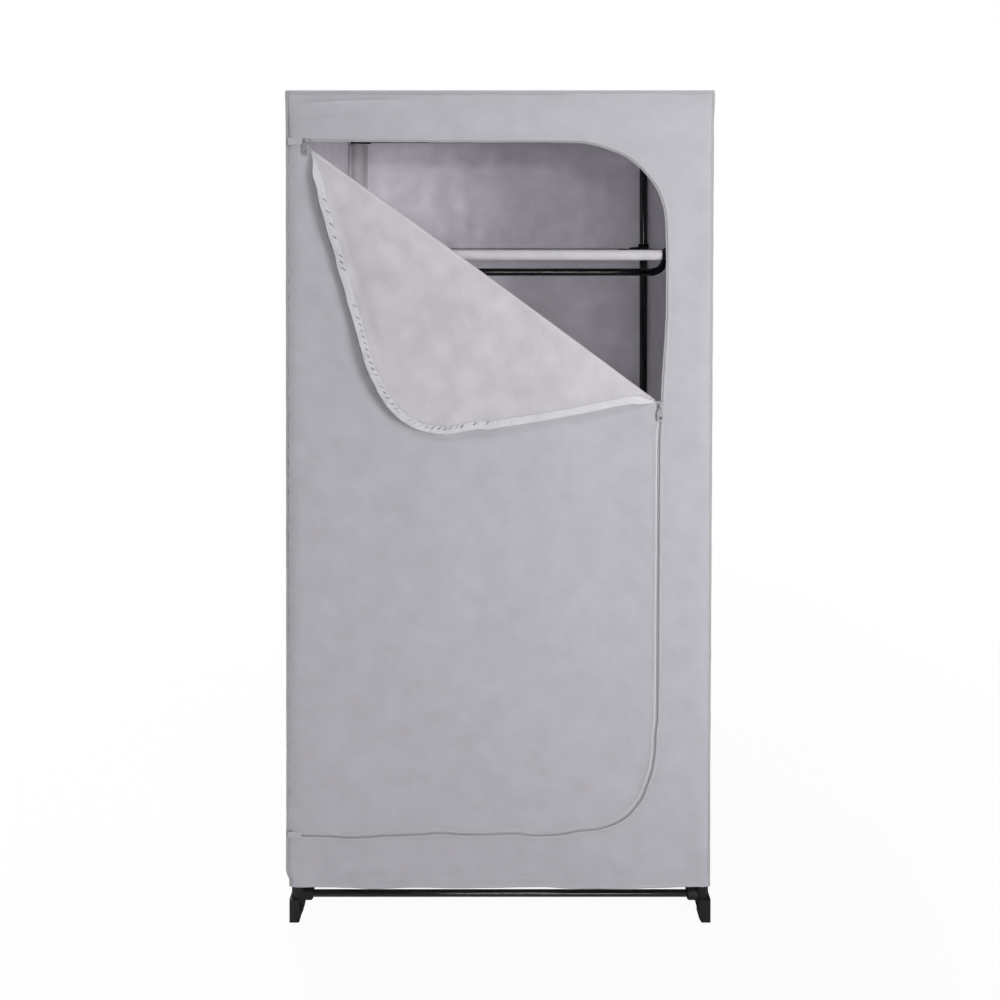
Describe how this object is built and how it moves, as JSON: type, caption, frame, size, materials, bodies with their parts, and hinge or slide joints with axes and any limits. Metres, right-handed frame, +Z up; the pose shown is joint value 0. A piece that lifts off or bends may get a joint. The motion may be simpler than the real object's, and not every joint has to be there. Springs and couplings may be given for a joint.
{
  "type": "portable fabric wardrobe",
  "caption": "Portable wardrobe with a tube frame on moulded feet, a cloth shelf, a hanging rail and a sewn cover whose zipped door folds down at its upper corner.",
  "frame": {"origin": "on the floor, under the middle of the whole wardrobe with its door corner folded down", "axes": "+X to the wearer's right as they face the door, +Y to the back, +Z up"},
  "size_m": [0.767, 0.5406, 1.49],
  "materials": {
    "black_steel": "semi-gloss black paint",
    "black_plastic": "fine matte mould texture",
    "grey_fabric": "non-woven cloth, faint creases",
    "lining_fabric": "non-woven cloth",
    "seam_binding": "woven tape",
    "zip_tape": "woven tape with a coil",
    "slider_metal": "satin grey paint"
  },
  "bodies": {
    "frame": {"foot_front_left": "black_plastic", "foot_front_right": "black_plastic", "foot_rear_right": "black_plastic", "foot_rear_left": "black_plastic", "post_lower_front_left": "black_steel", "post_lower_front_right": "black_steel", "post_lower_rear_right": "black_steel", "post_lower_rear_left": "black_steel", "post_middle_front_left": "black_steel", "post_middle_front_right": "black_steel", "post_middle_rear_right": "black_steel", "post_middle_rear_left": "black_steel", "post_upper_front_left": "black_steel", "post_upper_front_right": "black_steel", "post_upper_rear_right": "black_steel", "post_upper_rear_left": "black_steel", "shelf_connector_front_left": "black_plastic", "shelf_connector_front_right": "black_plastic", "shelf_connector_rear_right": "black_plastic", "shelf_connector_rear_left": "black_plastic", "top_corner_front_left": "black_plastic", "top_corner_front_right": "black_plastic", "top_corner_rear_right": "black_plastic", "top_corner_rear_left": "black_plastic", "bottom_rail_front": "black_steel", "bottom_rail_rear": "black_steel", "bottom_rail_left": "black_steel", "bottom_rail_right": "black_steel", "shelf_rail_front": "black_steel", "shelf_rail_rear": "black_steel", "shelf_rail_left": "black_steel", "shelf_rail_right": "black_steel", "top_rail_front": "black_steel", "top_rail_rear": "black_steel", "top_rail_left": "black_steel", "top_rail_right": "black_steel", "hanging_bracket_left": "black_plastic", "hanging_bracket_right": "black_plastic", "hanging_rail": "black_steel", "shelf_cloth": "lining_fabric", "cover_top": "grey_fabric", "cover_left": "grey_fabric", "cover_right": "grey_fabric", "cover_back": "grey_fabric", "cover_front": "grey_fabric", "top_binding": "seam_binding", "door_panel": "grey_fabric", "door_fold": "grey_fabric", "zip_tape_cover": "zip_tape", "zip_tape_door": "zip_tape", "zip_tab_top": "seam_binding", "zip_tab_bottom": "seam_binding"},
    "corner_flap": {"door_flap": "grey_fabric", "zip_tape_flap": "zip_tape"},
    "side_slider": {"side_slider": "slider_metal"},
    "side_pull": {"side_pull": "slider_metal"},
    "top_slider": {"top_slider": "slider_metal"},
    "top_pull": {"top_pull": "slider_metal"}
  },
  "joints": [
    {"name": "corner_flap", "type": "hinge", "parent": "frame", "child": "corner_flap", "pos_m": [-0.036, -0.2349, 1.16799], "axis": [-0.8087, 0, 0.5882], "range_deg": [0, 174.5]},
    {"name": "side_slider", "type": "slide", "parent": "frame", "child": "side_slider", "axis": [0, 0, 1], "range_m": [-0.605, 0]},
    {"name": "side_pull", "type": "hinge", "parent": "side_slider", "child": "side_pull", "pos_m": [0.285, -0.23386, 0.927], "axis": [-1, 0, 0], "range_deg": [0, 165]},
    {"name": "top_slider", "type": "slide", "parent": "frame", "child": "top_slider", "axis": [1, 0, 0], "range_m": [0, 0.47]},
    {"name": "top_pull", "type": "hinge", "parent": "top_slider", "child": "top_pull", "pos_m": [-0.3466, -0.23386, 1.399], "axis": [0, 1, 0], "range_deg": [-20, 80]}
  ]
}
